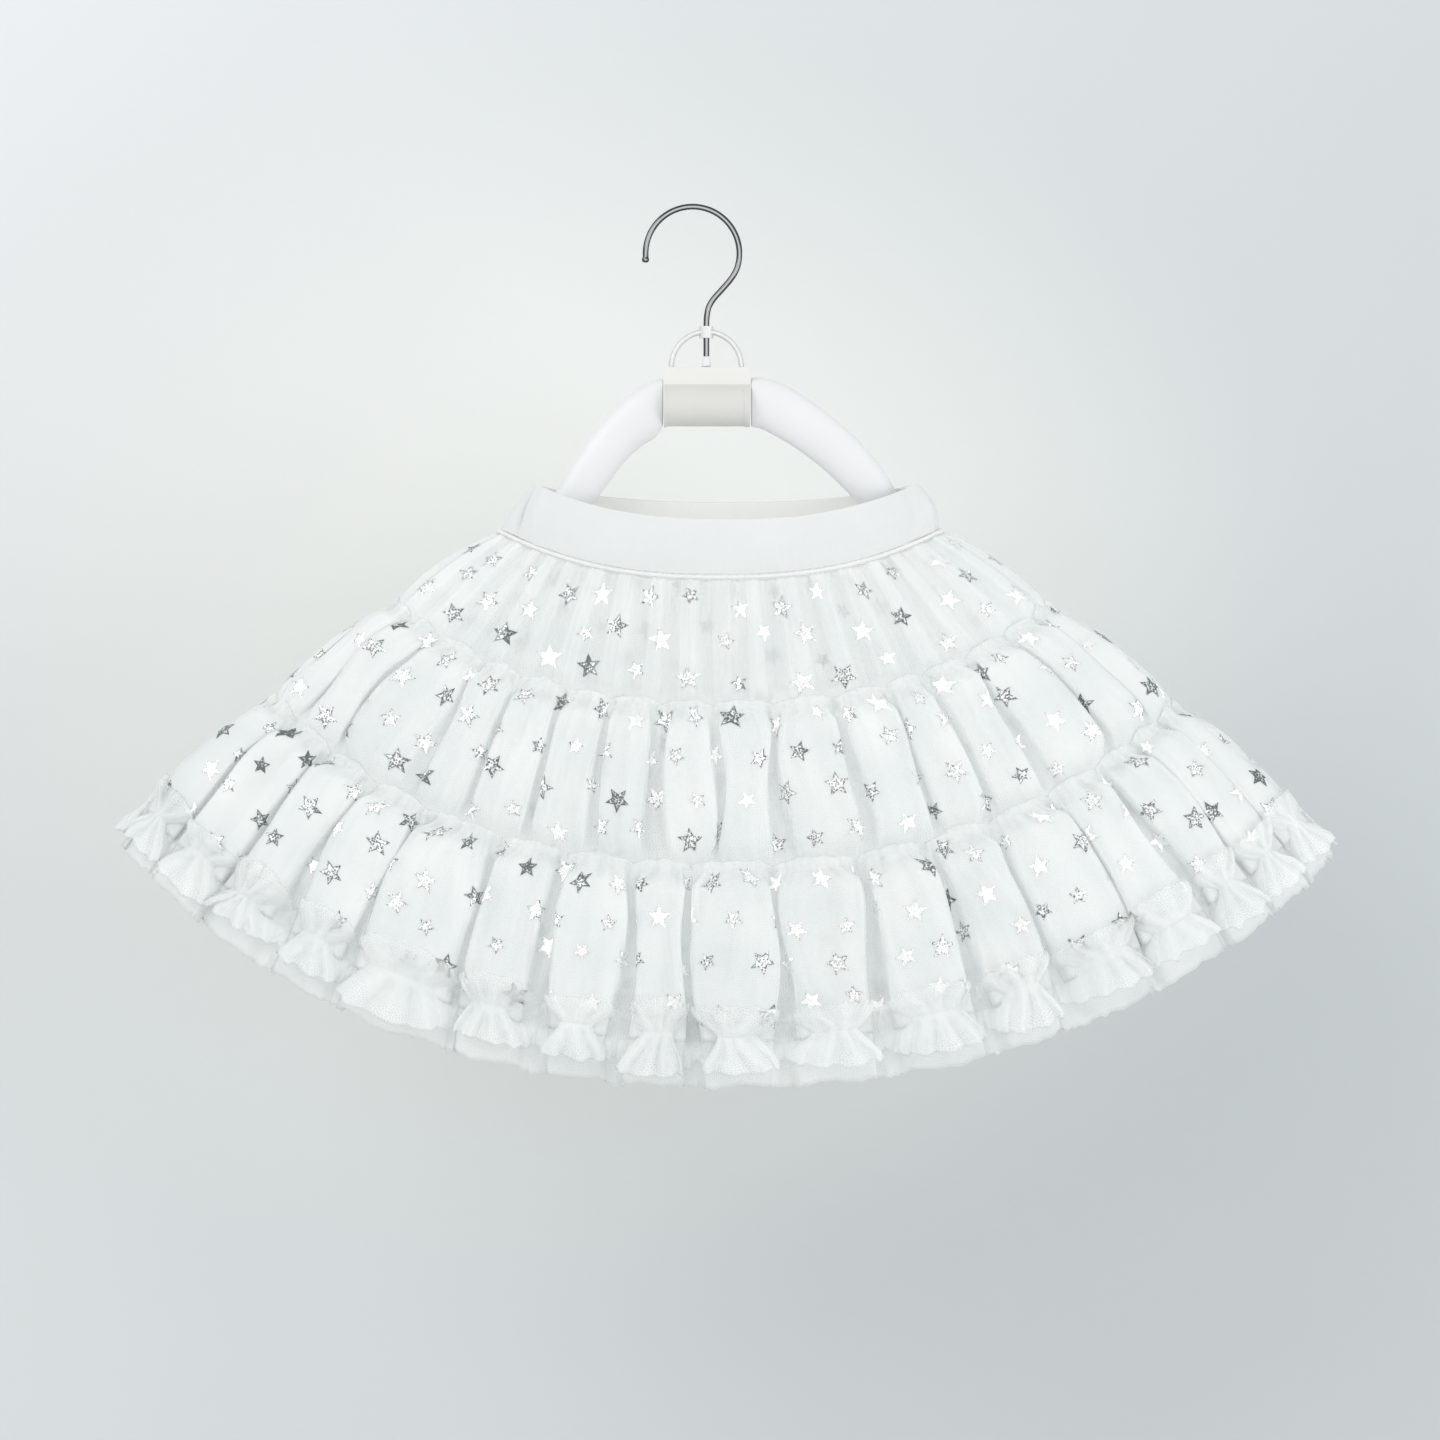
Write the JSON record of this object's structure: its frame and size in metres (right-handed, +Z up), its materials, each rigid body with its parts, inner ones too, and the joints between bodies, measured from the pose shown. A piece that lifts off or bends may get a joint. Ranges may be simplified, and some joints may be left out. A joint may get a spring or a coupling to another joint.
{
  "type": "child's tiered tulle tutu skirt on a hanger",
  "caption": "White three-tier star tulle tutu skirt with a wide elastic waistband and ruffled hem, hanging on a child's hanger.",
  "frame": {"origin": "underside of the crown of the hanger's hook, where it rests on a rail", "axes": "+Z up, +X to the right when facing the front of the skirt, +Y from the front of the skirt to its back"},
  "size_m": [0.5353, 0.1194, 0.3867],
  "materials": {
    "waist_elastic": "soft white knitted elastic",
    "tulle": "white net with silver foil stars",
    "ruffle_tulle": "plain white net",
    "chrome_wire": "polished",
    "clear_plastic": "clear",
    "white_plastic": "gloss"
  },
  "bodies": {
    "root": {"waistband": "waist_elastic", "waist_seam_piping": "waist_elastic", "tier_1": "tulle", "tier_2": "tulle", "tier_3": "tulle", "hem_ruffle": "ruffle_tulle", "hem_under_ruffle": "ruffle_tulle", "hanger_hook": "chrome_wire", "hanger_clear_ring": "clear_plastic", "hanger_stem_nub": "white_plastic", "hanger_centre_block": "white_plastic", "hanger_left_arm": "white_plastic", "hanger_right_arm": "white_plastic"}
  },
  "joints": []
}
